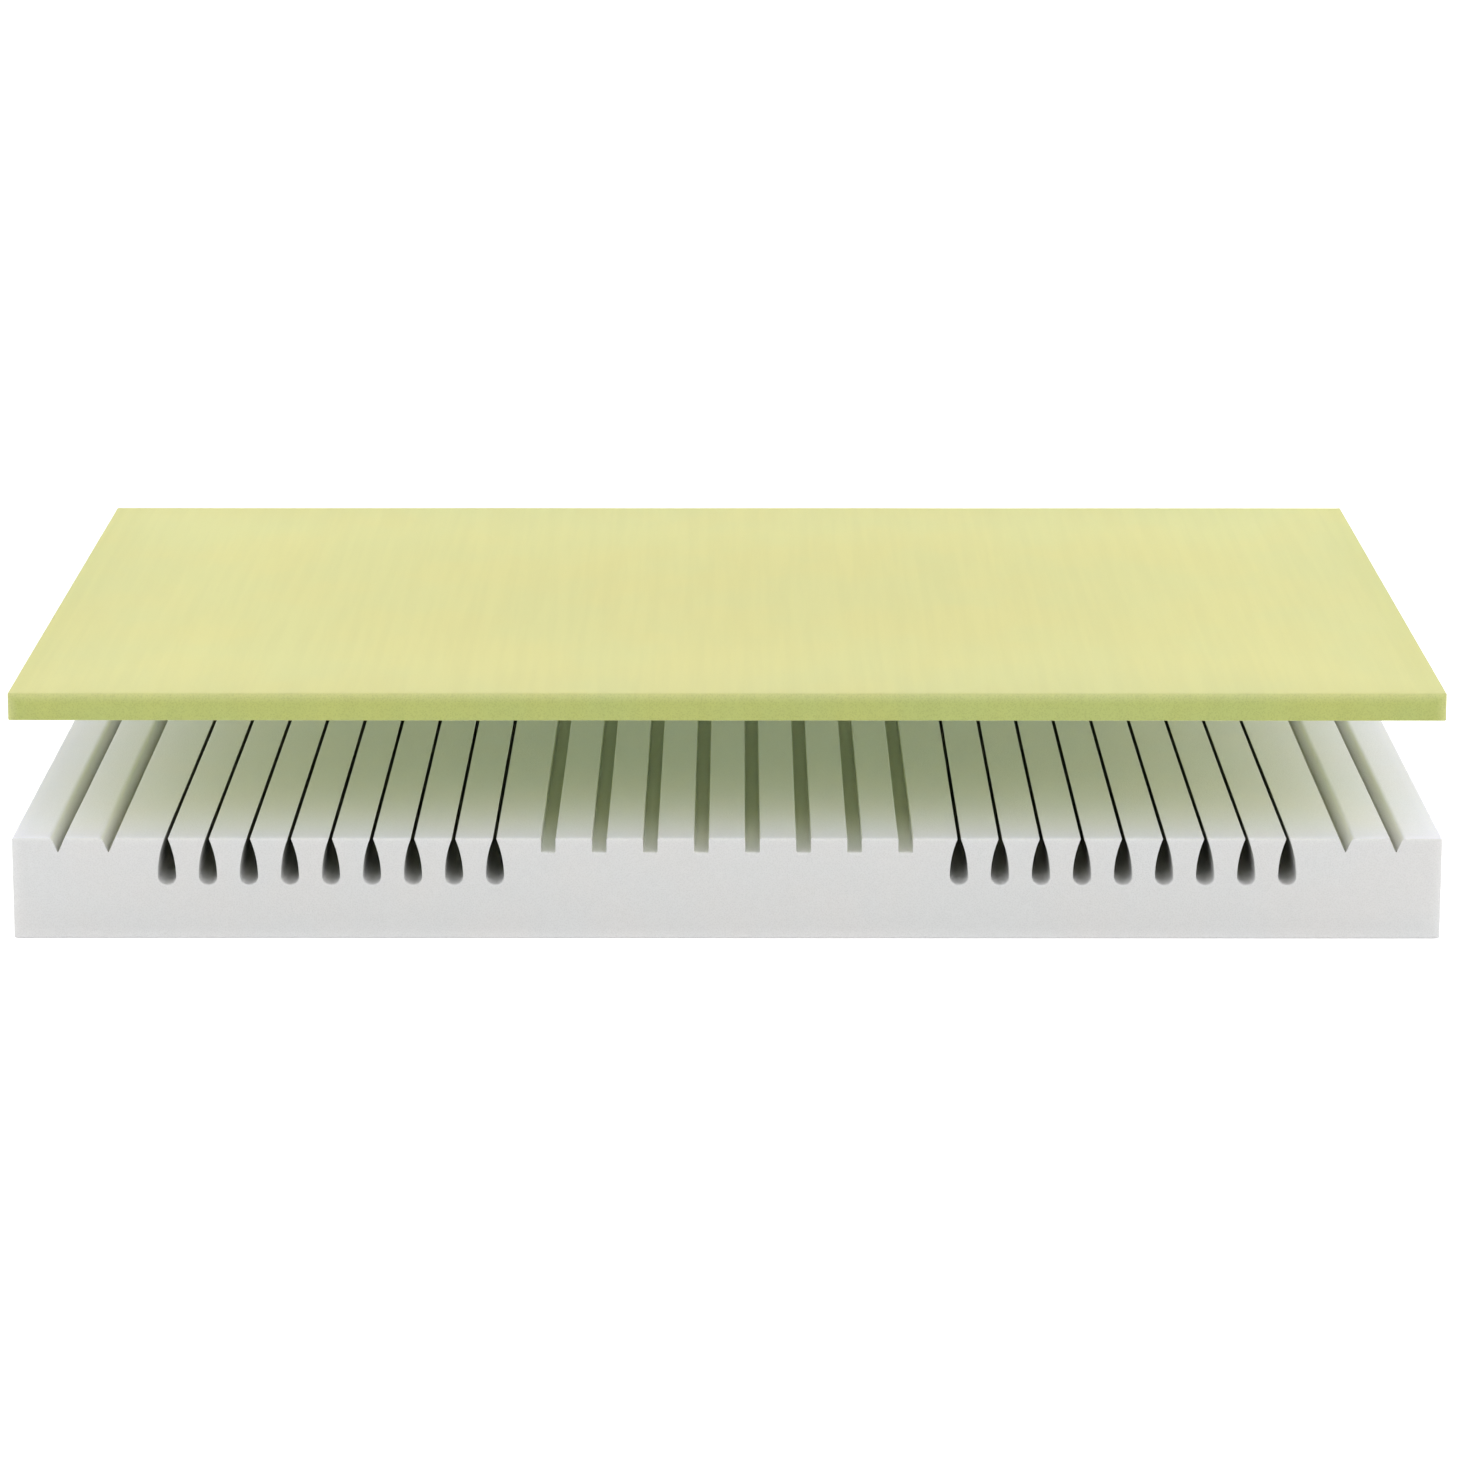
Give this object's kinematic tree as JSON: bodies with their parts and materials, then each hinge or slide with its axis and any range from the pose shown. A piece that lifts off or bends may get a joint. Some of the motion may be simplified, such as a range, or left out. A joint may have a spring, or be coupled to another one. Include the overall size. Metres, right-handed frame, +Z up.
{
  "type": "memory foam mattress",
  "caption": "Bare foam mattress core shown in layers: a viscoelastic foam slab raised above a white cold-foam block with cross grooves for comfort zones.",
  "frame": {"origin": "centre of the core's underside, which is the centre of the bottom of the whole part", "axes": "+X along the 2.0 m length, +Y across the 1.4 m width, +Z up through the two layers"},
  "size_m": [2, 1.4, 0.353],
  "materials": {
    "viscoelastic_foam": "matte",
    "cold_foam": "matte"
  },
  "bodies": {
    "core": {"zoned_foam_core": "cold_foam"},
    "topper": {"memory_foam_topper": "viscoelastic_foam"}
  },
  "joints": [
    {"name": "topper_lift", "type": "slide", "parent": "core", "child": "topper", "axis": [0, 0, 1], "range_m": [-0.1675, 0]}
  ]
}
